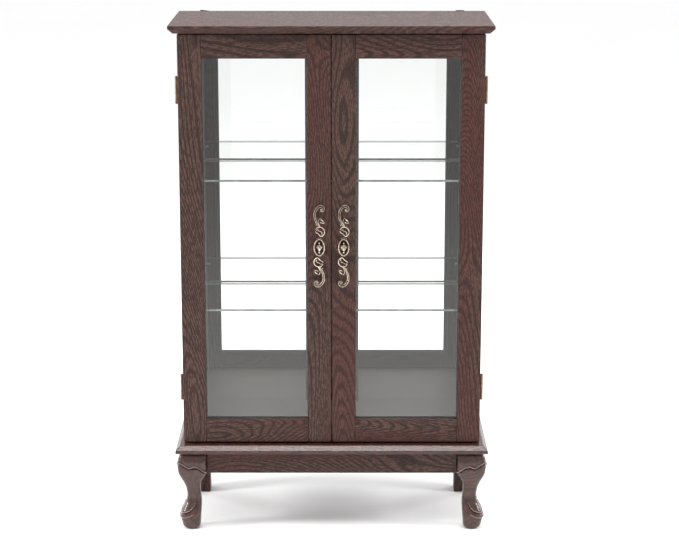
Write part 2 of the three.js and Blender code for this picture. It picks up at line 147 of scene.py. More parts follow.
class Field:
    """A shader socket that takes part in arithmetic."""

    def __init__(self, finish, socket):
        self.finish = finish
        self.socket = socket

    def math(self, operation, *values):
        return self.finish.field("ShaderNodeMath", {"operation": operation}, dict(enumerate(values)))

    def __add__(self, other):
        return self.math("ADD", self, other)

    def __sub__(self, other):
        return self.math("SUBTRACT", self, other)

    def __rsub__(self, other):
        return self.math("SUBTRACT", other, self)

    def __mul__(self, other):
        return self.math("MULTIPLY", self, other)

    def __truediv__(self, other):
        return self.math("DIVIDE", self, other)

    def __gt__(self, other):
        return self.math("GREATER_THAN", self, other)

    __radd__ = __add__
    __rmul__ = __mul__

    def wave(self):
        """Runs from 0 to 1 and back once for each whole step of the field."""
        return self.math("SINE", self * (2 * math.pi)) * 0.5 + 0.5

    def between(self, low, high):
        """1 from low to high, and 0 outside them."""
        return (self > low) * (1 - (self > high))

    def ramp(self, low, high):
        """0 below low, 1 above high, and smooth between them."""
        settings = {"interpolation_type": "SMOOTHSTEP"}
        return self.finish.field("ShaderNodeMapRange", settings, {0: self, 1: low, 2: high})


class Finish:
    """One material and its node tree."""

    def __init__(self, name):
        self.material = bpy.data.materials.new(name)
        self.material.use_nodes = True
        self.tree = self.material.node_tree
        self.tree.nodes.clear()

    def node(self, kind, settings=None, sockets=None):
        made = self.tree.nodes.new(kind)
        for key, value in (settings or {}).items():
            setattr(made, key, value)
        for key, value in (sockets or {}).items():
            if isinstance(value, Field):
                self.tree.links.new(value.socket, made.inputs[key])
            else:
                made.inputs[key].default_value = value
        return made

    def field(self, kind, settings=None, sockets=None, output=0):
        return Field(self, self.node(kind, settings, sockets).outputs[output])

    def place(self, output="Object"):
        return self.field("ShaderNodeTexCoord", output=output)

    def axes(self, vector):
        parts = self.node("ShaderNodeSeparateXYZ", sockets={0: vector})
        return [Field(self, socket) for socket in parts.outputs]

    def vector(self, operation, *values):
        return self.field("ShaderNodeVectorMath", {"operation": operation}, dict(enumerate(values)))

    def noise(self, place, scale, detail=2.0, distortion=0.0):
        sockets = {"Vector": place, "Scale": scale, "Detail": detail, "Distortion": distortion}
        return self.field("ShaderNodeTexNoise", sockets=sockets)

    def blend(self, share, first, second):
        first, second = (c if isinstance(c, Field) else (*c, 1.0) for c in (first, second))
        return self.field("ShaderNodeMix", {"data_type": "RGBA"}, {0: share, 6: first, 7: second}, output=2)

    def bump(self, height, strength, distance):
        sockets = {"Height": height, "Strength": strength, "Distance": distance}
        return self.field("ShaderNodeBump", sockets=sockets)

    def surface(self, **sockets):
        named = {key.replace("_", " ").title().replace("Ior", "IOR"): value for key, value in sockets.items()}
        return self.field("ShaderNodeBsdfPrincipled", sockets=named)

    def output(self, shader):
        self.node("ShaderNodeOutputMaterial", sockets={"Surface": shader})
        return self.material


def solid(rgb):
    return (*rgb, 1.0)


def wood_finish(name, grain, seed, lacquer=0.0, carved=False):
    """Open-grain wood under a satin red-brown stain; carved pieces get a painted highlight, a paler colour
    along their convex edges.
    """
    stains = bpy.context.scene.cabinet_finishes
    joinery = bpy.context.scene.cabinet_joinery
    finish = Finish(name)
    shift = (0.37 * seed, 0.61 * seed, 0.83 * seed)

    def stretched(times):
        stretch = [1.0, 1.0, 1.0]
        stretch["XYZ".index(grain)] = 1 / times
        return finish.vector("MULTIPLY_ADD", finish.place(), stretch, shift)

    broad = stretched(joinery.figure_stretch)
    fine = stretched(joinery.grain_stretch)
    wobble = finish.noise(broad, 90.0, 2.0)
    rings = (finish.noise(broad, 6.5, 1.0, 0.1) * joinery.figure_rings + wobble * 0.5).wave()
    late = rings.ramp(0.40, 1.0)
    flecks = finish.noise(fine, 580.0, 1.0, 0.2).ramp(0.40, 0.60)
    pores = finish.noise(fine, 1000.0, 1.0, 0.3).ramp(0.52, 0.64)
    pores = pores * (late * 0.6 + 0.4)
    light = (flecks * 0.70 + 0.30) * (1 - late * 0.70) + 0.04
    patches = finish.noise(broad, 12.0, 2.0).ramp(0.40, 0.66)
    depth = (1 - 0.35 * lacquer, 1 - 1.15 * lacquer, 1 - 1.35 * lacquer)
    pale, ruddy = ([c * d for c, d in zip(stain, depth)] for stain in (stains.stain_light, stains.stain_red))
    tone = finish.blend(light, stains.stain_dark, pale)
    red = finish.blend(light, [c * 0.35 for c in ruddy], ruddy)
    tone = finish.blend(patches * 0.7, tone, red)
    tone = finish.blend(pores * 0.75, tone, stains.pore)
    if carved:
        # Painted highlight: pointiness finds the convex carved edges, which are blended toward a paler
        # colour.
        edges = finish.field("ShaderNodeNewGeometry", output="Pointiness").ramp(0.52, 0.60)
        tone = finish.blend(edges * 0.8, tone, stains.painted_highlight)
    shader = finish.surface(
        base_color=tone,
        roughness=0.34 - 0.30 * lacquer + pores * 0.2 + (1 - flecks) * 0.08,
        specular_ior_level=0.2 + 0.3 * lacquer,
        coat_weight=lacquer,
        coat_roughness=0.07,
        normal=finish.bump(flecks * 0.5 - pores - late * 0.3, 0.55, 0.0004),
    )
    return finish.output(shader)


def raw_edge_finish():
    """The pale cut edge of the thin back panels."""
    finish = Finish("cut_fibreboard")
    fibre = finish.noise(finish.place(), 700.0, 2.0)
    base = finish.blend(fibre.ramp(0.35, 0.65), (0.12, 0.082, 0.064), (0.30, 0.235, 0.20))
    return finish.output(finish.surface(
        base_color=base, roughness=0.7 + fibre * 0.2, normal=finish.bump(fibre, 0.3, 0.0002)))


def laminate_finish():
    finish = Finish("satin_laminate")
    tint = bpy.context.scene.cabinet_finishes.laminate
    place = finish.place()
    speckle = finish.noise(place, 900.0, 2.0)
    cloud = finish.noise(place, 9.0, 2.0)
    shade = (speckle * 0.12 + cloud * 0.16).ramp(0.02, 0.26)
    base = finish.blend(shade, [c * 0.86 for c in tint], [c * 1.12 for c in tint])
    return finish.output(finish.surface(
        base_color=base, roughness=0.44 + cloud * 0.14, specular_ior_level=0.2,
        normal=finish.bump(speckle, 0.12, 0.0001)))


def mirror_finish():
    finish = Finish("silvered_glass")
    smudge = finish.noise(finish.place(), 14.0, 3.0).ramp(0.45, 0.8)
    base = finish.blend(smudge, (0.965, 0.975, 0.97), (0.945, 0.96, 0.95))
    return finish.output(finish.surface(base_color=base, metallic=1.0, roughness=0.0))


def pane_finish(name, tint, gloss_share):
    """Clear float glass, as a thin see-through sheet with a mirror gloss."""
    finish = Finish(name)
    smear = finish.noise(finish.place(), 6.0, 2.0).ramp(0.4, 0.8)
    clear = finish.field("ShaderNodeBsdfTransparent", sockets={"Color": solid(tint)})
    gloss = finish.surface(base_color=(0.95, 0.945, 0.93, 1), roughness=smear * 0.03, metallic=1.0)
    sheen = finish.field("ShaderNodeFresnel", sockets={"IOR": 1.45})
    leaving = finish.field("ShaderNodeNewGeometry", output="Backfacing")
    share = sheen * (1 - leaving) * gloss_share
    shader = finish.field("ShaderNodeMixShader", sockets={0: share, 1: clear, 2: gloss})
    return finish.output(shader)


def edge_finish():
    """The green-grey depth that shows in a pane's polished edge."""
    finish = Finish("polished_glass_edge")
    ripple = finish.noise(finish.place(), 60.0, 2.0)
    base = finish.blend(ripple.ramp(0.3, 0.7), (0.08, 0.10, 0.095), (0.18, 0.21, 0.20))
    return finish.output(finish.surface(base_color=base, roughness=0.08 + ripple * 0.1))


def metal_finish(name, tint, roughness, tarnish):
    """Plated or aged metal, clouded and finely scratched."""
    finish = Finish(name)
    place = finish.place()
    cloud = finish.noise(place, 160.0, 3.0)
    scratch = finish.noise(finish.vector("MULTIPLY", place, (1.0, 1.0, 0.05)), 2600.0, 1.0)
    worn = cloud.ramp(0.35, 0.7)
    base = finish.blend(worn, [c * (1 - tarnish) for c in tint], tint)
    rough = roughness + (1 - worn) * 0.16 + scratch * 0.06
    return finish.output(finish.surface(
        base_color=base, metallic=1.0, roughness=rough, normal=finish.bump(scratch, 0.08, 0.00005)))


def pull_finish():
    """Antique bronze: faces turned aside, toward the hollows, are dark, a painted shade; faces turned to the
    front are pale gold, partly the rubbed finish and partly a painted highlight.
    """
    tones = bpy.context.scene.cabinet_finishes
    finish = Finish("antique_bronze_painted_light")
    # Painted highlight and shade: faces whose normal points to the front get the pale bronze, partly the
    # rubbed finish, and faces turned aside keep the dark bronze.
    forward = finish.axes(finish.place("Normal"))[1] * -1
    mottle = finish.noise(finish.place(), 520.0, 2.0)
    painted_highlight = (forward + (mottle - 0.5) * 0.5).ramp(0.78, 1.04)
    base = finish.blend(painted_highlight, tones.bronze_patina_and_shade, tones.bronze_rubbed_highlight)
    return finish.output(finish.surface(
        base_color=base, metallic=1.0, roughness=0.36 - painted_highlight * 0.12,
        normal=finish.bump(mottle, 0.15, 0.0002)))


def webbing_finish():
    """Plain-woven webbing: yarns over and under at the strap's own scale, with painted shade between the
    yarns.
    """
    finish = Finish("woven_webbing")
    yarn = bpy.context.scene.cabinet_finishes.webbing
    across, _, along = finish.axes(finish.place())
    weft = (along / (1.6 * MM)).wave()
    warp = (across / (1.1 * MM) + (along / (3.2 * MM)).wave() * 0.5).wave()
    height = weft * 0.6 + warp * 0.5
    fuzz = finish.noise(finish.place(), 2400.0, 2.0)
    # Painted shade: the low places between the yarns are darkened and the raised yarns lightened, with random
    # fuzz on top.
    light = height.ramp(0.2, 1.0) * (0.6 + fuzz * 0.6)
    base = finish.blend(light, [c * 0.45 for c in yarn], [c * 1.9 for c in yarn])
    shader = finish.surface(
        base_color=base, roughness=0.82 + fuzz * 0.1, specular_ior_level=0.25,
        normal=finish.bump(height + fuzz * 0.25, 0.6, 0.0003))
    return finish.output(shader)


def plastic_finish(name, tint, roughness):
    finish = Finish(name)
    place = finish.place()
    flow = finish.noise(place, 120.0, 2.0)
    grainy = finish.noise(place, 1800.0, 1.0)
    base = finish.blend(flow.ramp(0.3, 0.7), [c * 0.82 for c in tint], [min(1, c * 1.12) for c in tint])
    return finish.output(finish.surface(
        base_color=base, roughness=roughness + flow * 0.12, normal=finish.bump(grainy, 0.12, 0.0001)))


def label_finish(low, high):
    """White card with a coloured band and two columns of plain grey bars, and no wording."""
    tones = bpy.context.scene.cabinet_finishes
    finish = Finish("printed_label")
    x, _, z = finish.axes(finish.place())
    across = (high.x - x) / (high.x - low.x)
    down = (high.z - z) / (high.z - low.z)
    paper = finish.noise(finish.place(), 700.0, 2.0)
    base = finish.blend(paper.ramp(0.3, 0.7), (0.565, 0.56, 0.57), (0.63, 0.625, 0.63))
    band = down.between(0.04, 0.13)
    rows = (down * 17).wave() > 0.62
    ragged = finish.noise(finish.vector("MULTIPLY", finish.place(), (0.0, 0.0, 1.0)), 900.0, 0.0)
    left_column = across.between(0.19, ragged * 0.3 + 0.36)
    right_column = across.between(0.56, ragged * 0.4 + 0.72)
    printed = rows * (left_column + right_column) * down.between(0.18, 0.92)
    base = finish.blend(printed * 0.75, base, tones.label_print)
    base = finish.blend(band, base, tones.label_band)
    return finish.output(finish.surface(base_color=base, roughness=0.42 + paper * 0.1))


# ------------------------------------------------------------------ mesh making

def piece(name, bm, materials, body, replaced=(), smooth_below=math.radians(35)):
    """Turns a bmesh into a piece that rides on a body and may stand for CAD nodes."""
    bmesh.ops.recalc_face_normals(bm, faces=bm.faces)
    for face in bm.faces:
        face.smooth = True
    for edge in bm.edges:
        if edge.tag or edge.calc_face_angle(0) > smooth_below:
            edge.smooth = False
    mesh = bpy.data.meshes.new(name)
    bm.to_mesh(mesh)
    bm.free()
    made = bpy.data.objects.new(name, mesh)
    bpy.context.scene.collection.objects.link(made)
    for material in materials:
        mesh.materials.append(material)
    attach(made, body)
    if replaced:
        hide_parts(*replaced)
    return made


def low_high(node):
    low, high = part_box(node)
    return Vector(low), Vector(high)


def softened(node, width, segments=3, shortest=4.0):
    """The CAD solid with its long edges rounded."""
    bm = bmesh.new()
    bm.from_mesh(bpy.data.objects[node].data)
    bmesh.ops.remove_doubles(bm, verts=bm.verts, dist=1e-6)
    bmesh.ops.dissolve_limit(bm, angle_limit=math.radians(1), verts=bm.verts, edges=bm.edges)
    sharp = [
        edge for edge in bm.edges
        if edge.calc_length() > shortest * width and edge.calc_face_angle(0) > math.radians(30)
    ]
    for element in (*bm.faces, *bm.edges):
        element.tag = False
    rounded = bmesh.ops.bevel(
        bm, geom=sharp, offset=width, offset_type="OFFSET", segments=segments,
        profile=0.5, affect="EDGES", clamp_overlap=True)["faces"]
    keep_flat(bm, rounded)
    return bm


def keep_flat(bm, rounded):
    """Tags the edges where a flat face meets its rounding, so that the flat face shades flat."""
    curved = set(rounded)
    for edge in bm.edges:
        edge.tag = len({face in curved for face in edge.link_faces}) == 2


def block(bm, low, high):
    """Adds a plain block between two corners."""
    made = bmesh.ops.create_cube(bm, size=1.0)["verts"]
    for vert in made:
        vert.co = [low[i] + (vert.co[i] + 0.5) * (high[i] - low[i]) for i in range(3)]


def bridge(bm, first, second):
    """Faces between two rings of equal length, or between a ring and a point."""
    count = max(len(first), len(second))
    for i in range(count):
        corners = [first[i % len(first)], first[(i + 1) % len(first)]]
        corners += [second[(i + 1) % len(second)], second[i % len(second)]]
        bm.faces.new(dict.fromkeys(corners))


def loft(bm, rings, closed=False):
    """Faces from each ring to the next, and from the last to the first if closed."""
    for first, second in zip(rings, rings[1:]):
        bridge(bm, first, second)
    if closed:
        bridge(bm, rings[-1], rings[0])


def turned(bm, profile, matrix=Matrix(), sides=None, closed=False):
    """Adds a body turned about the matrix's Z; the profile is (radius, height) pairs."""
    sides = sides or bpy.context.scene.cabinet_hardware.turning_sides
    rings = []
    for radius, height in profile:
        count = sides if radius > 0 else 1
        turns = (2 * math.pi * i / sides for i in range(count))
        rings.append([
            bm.verts.new(matrix @ Vector((radius * math.cos(t), radius * math.sin(t), height))) for t in turns
        ])
    loft(bm, rings, closed)


def strand(bm, points, radii, sides=12):
    """Adds a tube through the points, closed to a rounded tip at each end."""
    rings = []
    normal = None
    for i, point in enumerate(points):
        tangent = heading(points, i).normalized()
        if normal is None:
            normal = tangent.orthogonal()
        normal = (normal - tangent * normal.dot(tangent)).normalized()
        other = tangent.cross(normal)
        turns = (2 * math.pi * k / sides for k in range(sides))
        rings.append([
            bm.verts.new(point + radii[i] * (normal * math.cos(t) + other * math.sin(t))) for t in turns
        ])
    loft(bm, rings)
    for ring, inward in ((rings[0], points[0] - points[1]), (rings[-1], points[-1] - points[-2])):
        middle = sum((v.co for v in ring), Vector()) / sides
        radius = (ring[0].co - middle).length
        tip = bm.verts.new(middle + inward.normalized() * radius * 0.6)
        bridge(bm, ring, [tip])


def between_points(p0, p1, p2, p3, t):
    """A place between the middle two of four points, on a Catmull-Rom curve."""
    return 0.5 * (2 * p1 + (p2 - p0) * t + (2 * p0 - 5 * p1 + 4 * p2 - p3) * t ** 2
                  + (3 * p1 - p0 - 3 * p2 + p3) * t ** 3)


def smooth_path(points, steps):
    """Points along a smooth curve through the given ones."""
    ends = [2 * points[0] - points[1], *points, 2 * points[-1] - points[-2]]
    path = []
    for i in range(1, len(ends) - 2):
        path += [between_points(*ends[i - 1:i + 3], k / steps) for k in range(steps)]
    return [*path, points[-1]]


def heading(points, i):
    """The way from the point before the i-th to the point after it."""
    return points[min(i + 1, len(points) - 1)] - points[max(i - 1, 0)]


def blob(bm, centre, half, turn=0.0, rows=10):
    """Adds a rounded bead, leaf or petal, turned in the plane of the door."""
    matrix = Matrix.Translation(centre) @ Matrix.Rotation(turn, 4, "Y") @ Matrix.Diagonal((*half, 1))
    bmesh.ops.create_uvsphere(bm, u_segments=2 * rows, v_segments=rows, radius=1.0, matrix=matrix)


def along_normal(centre, normal):
    """A frame at a point, with its Z along a surface's normal."""
    return Matrix.Translation(centre) @ normal.to_track_quat("Z", "Y").to_matrix().to_4x4()


def cross_head(bm, centre, normal, radius, height, cells=24):
    """Adds a pan head with a sunk cross slot."""
    matrix = along_normal(centre, normal)
    arm, reach = 0.14, 0.58
    grid = {}
    for i in range(cells + 1):
        for j in range(cells + 1):
            u, v = 2 * i / cells - 1, 2 * j / cells - 1
            x = u * math.sqrt(1 - v * v / 2)
            y = v * math.sqrt(1 - u * u / 2)
            dome = (1 - min(1, math.hypot(x, y)) ** 5) ** 0.6
            slotted = (abs(u) < arm and abs(v) < reach) or (abs(v) < arm and abs(u) < reach)
            rise = dome * (0.35 if slotted else 1.0)
            grid[i, j] = bm.verts.new(matrix @ Vector((radius * x, radius * y, height * rise)))
    for i in range(cells):
        for j in range(cells):
            bm.faces.new((grid[i, j], grid[i + 1, j], grid[i + 1, j + 1], grid[i, j + 1]))
    rim = [grid[i, 0] for i in range(cells)] + [grid[cells, j] for j in range(cells)]
    rim += [grid[i, cells] for i in range(cells, 0, -1)] + [grid[0, j] for j in range(cells, 0, -1)]
    bm.faces.new(reversed(rim))


# ------------------------------------------------------------------ operators

MOULDED = ("top_board", "base_board")
# How much clear lacquer lies over the stain, from 0 to 1.
BASE_LACQUER = 0.3
LEG_LACQUER = 0.35
# Each straight board, with the axis that its grain runs along.
BOARDS = {
    "top_board": "X", "base_board": "X", "back_batten": "Z", "front_apron": "X", "rear_apron": "X",
    "left_side_panel": "Z", "right_side_panel": "Z", "left_apron": "Y", "right_apron": "Y",
    "left_rear_leg": "Z", "right_rear_leg": "Z", "left_back_panel": "Z", "right_back_panel": "Z",
    "left_door_inner_stile": "Z", "left_door_outer_stile": "Z",
    "left_door_top_rail": "X", "left_door_bottom_rail": "X",
    "right_door_inner_stile": "Z", "right_door_outer_stile": "Z",
    "right_door_top_rail": "X", "right_door_bottom_rail": "X",
}


class CABINET_OT_boards(bpy.types.Operator):
    """Make every straight wooden board, with rounded edges and its own run of grain"""

    bl_idname = "cabinet.boards"
    bl_label = "Wooden boards"

    def execute(self, context):
        joinery = context.scene.cabinet_joinery
        raw = raw_edge_finish()
        for seed, (node, grain) in enumerate(BOARDS.items(), 1):
            thin = min(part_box(node)[1][i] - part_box(node)[0][i] for i in range(3))
            material = wood_finish(f"{node}_wood", grain, seed, BASE_LACQUER if node == "base_board" else 0.0)
            slot = "backboard" if node.endswith("back_panel") else "wood"
            width = joinery.moulded_edge if node in MOULDED else joinery.board_edge
            bm = softened(node, min(width, thin / 3))
            materials = [material]
            if slot == "backboard":
                materials.append(raw)
                for face in bm.faces:
                    face.material_index = 0 if abs(face.normal.y) > 0.99 else 1
            piece(f"{node}_finished", bm, materials, BODIES[node], [node])
        return {"FINISHED"}


class CABINET_OT_case_floor(bpy.types.Operator):
    """Make the laminated case floor and the two mirrors"""

    bl_idname = "cabinet.case_floor"
    bl_label = "Case floor and mirrors"

    def execute(self, context):
        joinery = context.scene.cabinet_joinery
        floor = softened("bottom_panel", joinery.board_edge / 2)
        floor.normal_update()
        for face in floor.faces:
            face.material_index = 0 if face.normal.z > 0.5 else 1
        finishes = [laminate_finish(), wood_finish("bottom_panel_wood", "X", 30)]
        piece("bottom_panel_finished", floor, finishes, "cabinet", ["bottom_panel"])
        silver = mirror_finish()
        for side, _ in SIDES:
            node = f"{side}_mirror"
            piece(f"{node}_sheet", softened(node, joinery.glass_edge), [silver], "cabinet", [node])
        return {"FINISHED"}


# Heights on the front leg, as shares of its height, with how far the outer face
# stands past the case's corner and how far the inner face is inside it.
LEG_OUTLINE = (
    (0.0, 3.0, 29.0), (0.08, 6.0, 30.0), (0.18, 9.0, 31.0), (0.27, 4.0, 32.0), (0.35, -2.0, 32.0),
    (0.42, -4.0, 31.0), (0.52, -2.0, 30.0), (0.60, 3.0, 32.0), (0.67, 8.0, 38.0), (0.73, 11.5, 43.5),
    (0.86, 13.5, 43.5), (0.94, 10.0, 43.5), (1.0, 5.0, 43.5),
)
# Carved lines on the leg: degrees from its outward corner, and height in millimetres.
KNEE_LINE = ((0, 140), (9, 137), (32, 127), (52, 130.5), (69, 129), (81, 122), (92, 118), (180, 118))
TOE_LINE = ((0, 35), (16, 35.5), (34, 38.5), (50, 44), (60, 52), (66, 64))
RIM_LINE = ((0, 26), (20, 26.5), (40, 28.5), (62, 33))


def along_line(line, x):
    """A height on a carved line, straight between its points."""
    for (x0, y0), (x1, y1) in zip(line, line[1:]):
        if x <= x1:
            return y0 + (y1 - y0) * (x - x0) / (x1 - x0)
    return line[-1][1]


def ease(value, low, high):
    t = max(0.0, min(1.0, (value - low) / (high - low)))
    return t * t * (3 - 2 * t)


def ridge(distance, middle, spread):
    return math.exp(-((distance - middle) / spread) ** 2)


def leg_faces(share):
    """Outer and inner faces at a share of the leg's height, on a smooth curve."""
    points = [Vector(row) for row in LEG_OUTLINE]
    k = next(i for i in range(1, len(points)) if share <= points[i].x + 1e-9)
    p1, p2 = points[k - 1], points[k]
    p0 = points[max(k - 2, 0)]
    p3 = points[min(k + 1, len(points) - 1)]
    curve = between_points(p0, p1, p2, p3, (share - p1.x) / (p2.x - p1.x))
    return curve.y, curve.z


def carving(turn, height):
    """How far the carving stands out, in millimetres, at degrees from the outward corner."""
    front = 1 - ease(turn, 92, 104)
    knee = height - along_line(KNEE_LINE, turn)
    cut = front * (2.3 * ridge(knee, 0.8, 1.0) - 2.6 * ridge(knee, -2.4, 1.7) - 1.1 * ridge(knee, 4.6, 2.6))
    toe = height - along_line(TOE_LINE, turn)
    tongue = 1 - ease(turn, 60, 67)
    cut += tongue * (2.2 * ridge(toe, 1.2, 1.0) - 2.2 * ridge(toe, -1.6, 1.3))
    rim = height - along_line(RIM_LINE, turn)
    cut += (1 - ease(turn, 50, 64)) * (1.9 * ridge(rim, 0, 1.1) - 1.0 * ridge(rim, -3.2, 1.8))
    return cut


def leg_mesh(hand, corner_x, corner_y, leg_height, around=144, levels=210):
    """A carved cabriole leg, standing inward from the case's front corner."""
    bm = bmesh.new()
    rings = []
    for level in range(levels + 1):
        share = level / levels
        height = share * leg_height / MM
        outer, inner = leg_faces(share)
        foot_round = 6.0 * (1 - min(1.0, height / 9)) ** 2.2
        squareness = 2.9 + 0.7 * ease(share, 0.3, 0.5) + 4.2 * ease(share, 0.58, 0.76)
        ring = []
        for k in range(around):
            angle = 2 * math.pi * k / around
            turn = abs(math.degrees((angle - 1.25 * math.pi + math.pi) % (2 * math.pi) - math.pi))
            c, s = abs(math.cos(angle)), abs(math.sin(angle))
            radius = (outer + inner) / 2 * (c ** squareness + s ** squareness) ** (-1 / squareness)
            radius += carving(turn, height) - foot_round
            middle = (inner - outer) / 2
            x = -corner_x + (middle + radius * math.cos(angle)) * MM
            y = corner_y + (middle + radius * math.sin(angle)) * MM
            ring.append(bm.verts.new((-hand * x, y, share * leg_height)))
        rings.append(ring)
    loft(bm, rings)
    bm.faces.new(rings[0])
    bm.faces.new(rings[-1])
    return bm


class CABINET_OT_front_legs(bpy.types.Operator):
    """Make the carved cabriole legs at the front"""

    bl_idname = "cabinet.front_legs"
    bl_label = "Front legs"

    def execute(self, context):
        corner_x = low_high("right_side_panel")[1].x
        corner_y = low_high("front_apron")[0].y
        leg_height = low_high("base_board")[0].z
        for seed, (side, hand) in enumerate(SIDES, 31):
            node = f"{side}_front_leg"
            material = wood_finish(f"{node}_wood", "Z", seed, LEG_LACQUER, carved=True)
            bm = leg_mesh(hand, corner_x, corner_y, leg_height)
            piece(f"{side}_carved_leg", bm, [material], "cabinet", [node])
        return {"FINISHED"}


def ring_strip(bm, outer, inner, depth, chamfer):
    """Adds a frame of bead between two rectangles, mitred, with a sloped inner face."""
    (ol, oh), (il, ih) = outer, inner
    back, front = depth
    sections = [
        (ol, oh, back), (ol, oh, front),
        (il - Vector((chamfer, 0, chamfer)), ih + Vector((chamfer, 0, chamfer)), front),
        (il, ih, front + (back - front) * 0.4), (il, ih, back),
    ]
    rings = []
    for low, high, y in sections:
        corners = ((low.x, low.z), (high.x, low.z), (high.x, high.z), (low.x, high.z))
        rings.append([bm.verts.new((x, y, z)) for x, z in corners])
    loft(bm, rings, closed=True)


def glass_sheet(name, node, body, clear, edge):
    """A pane with clear faces and a darker polished edge."""
    bm = softened(node, bpy.context.scene.cabinet_joinery.glass_edge, 2)
    low, high = low_high(node)
    thin = min(range(3), key=lambda i: high[i] - low[i])
    bm.normal_update()
    for face in bm.faces:
        face.material_index = 0 if abs(face.normal[thin]) > 0.99 else 1
    return piece(name, bm, [clear, edge], body, [node])


# How strongly the panes and the shelves mirror, against plain glass.
PANE_GLOSS = 2.1
SHELF_GLOSS = 1.3
BEAD_CHAMFER = 2 * MM
SEAL_DEPTH = 1.6 * MM
SEAL_CHAMFER = 0.3 * MM


class CABINET_OT_glazing(bpy.types.Operator):
    """Make the door panes, their beads and the glass shelves"""

    bl_idname = "cabinet.glazing"
    bl_label = "Glass"

    def execute(self, context):
        clear = pane_finish("door_pane_glass", (0.995, 0.998, 0.996), PANE_GLOSS)
        shelf_clear = pane_finish("shelf_glass", (0.965, 0.968, 0.966), SHELF_GLOSS)
        edge = edge_finish()
        for level in LEVELS:
            glass_sheet(f"{level}_shelf_sheet", f"{level}_glass_shelf", "cabinet", shelf_clear, edge)
        bead = plastic_finish("glazing_bead", context.scene.cabinet_finishes.bead, 0.45)
        show = context.scene.cabinet_joinery.bead_show
        gap = 0.2 * MM
        for side, _ in SIDES:
            door = f"{side}_door"
            glass_sheet(f"{side}_pane_sheet", f"{door}_glass", door, clear, edge)
            glass_low, glass_high = low_high(f"{door}_glass")
            back_y = low_high(f"{door}_top_rail")[1].y
            stiles = [low_high(f"{door}_{name}") for name in ("inner_stile", "outer_stile")]
            sides_x = sorted(x for low, high in stiles for x in (low.x, high.x))[1:3]
            bottom = low_high(f"{door}_bottom_rail")[1].z
            top = low_high(f"{door}_top_rail")[0].z
            window_low = Vector((sides_x[0] + show, 0, bottom + show))
            window_high = Vector((sides_x[1] - show, 0, top - show))
            rear = bmesh.new()
            ring_strip(rear, (glass_low, glass_high), (window_low, window_high),
                       (glass_high.y + gap, back_y), BEAD_CHAMFER)
            piece(f"{side}_glazing_bead", rear, [bead], door)
            front = bmesh.new()
            edge_low = Vector((sides_x[0] + gap, 0, bottom + gap))
            edge_high = Vector((sides_x[1] - gap, 0, top - gap))
            inset = Vector((show, 0, show))
            ring_strip(front, (edge_low, edge_high), (edge_low + inset, edge_high - inset),
                       (glass_low.y - gap, glass_low.y - SEAL_DEPTH), SEAL_CHAMFER)
            piece(f"{side}_glass_seal", front, [bead], door)
        return {"FINISHED"}


class CABINET_OT_shelf_pins(bpy.types.Operator):
    """Make the turned shelf pins"""

    bl_idname = "cabinet.shelf_pins"
    bl_label = "Shelf pins"

    def execute(self, context):
        steel = metal_finish("plated_steel_pin", context.scene.cabinet_finishes.steel, 0.24, 0.3)
        for level in LEVELS:
            for row in ("front", "rear"):
                for side, hand in SIDES:
                    node = f"{level}_{row}_{side}_shelf_pin"
                    low, high = low_high(node)
                    collar = (high.z - low.z) / 2
                    reach = high.x - low.x
                    centre = (low + high) / 2
                    centre.x = high.x if hand > 0 else low.x
                    shank = collar * 0.69
                    profile = (
                        (0, 0), (shank * 0.8, 0), (shank, 0.0006), (shank, 0.009), (collar - 0.0003, 0.009),
                        (collar, 0.0093), (collar, 0.0099), (collar - 0.0003, 0.0102), (shank, 0.0102),
                        (shank, reach - 0.0008), (shank * 0.7, reach - 0.0001), (0, reach),
                    )
                    bm = bmesh.new()
                    turned(bm, profile, along_normal(centre, Vector((-hand, 0, 0))))
                    piece(f"{node}_turned", bm, [steel], "cabinet", [node])
        return {"FINISHED"}


def knuckle(bm, axis, start, end, bore):
    """Adds one rolled knuckle between two heights on the hinge's axis."""
    outer = 2.8 * MM
    soft = 0.35 * MM
    profile = (
        (bore, start), (outer - soft, start), (outer, start + soft),
        (outer, end - soft), (outer - soft, end), (bore, end),
    )
    turned(bm, profile, Matrix.Translation(axis), closed=True)


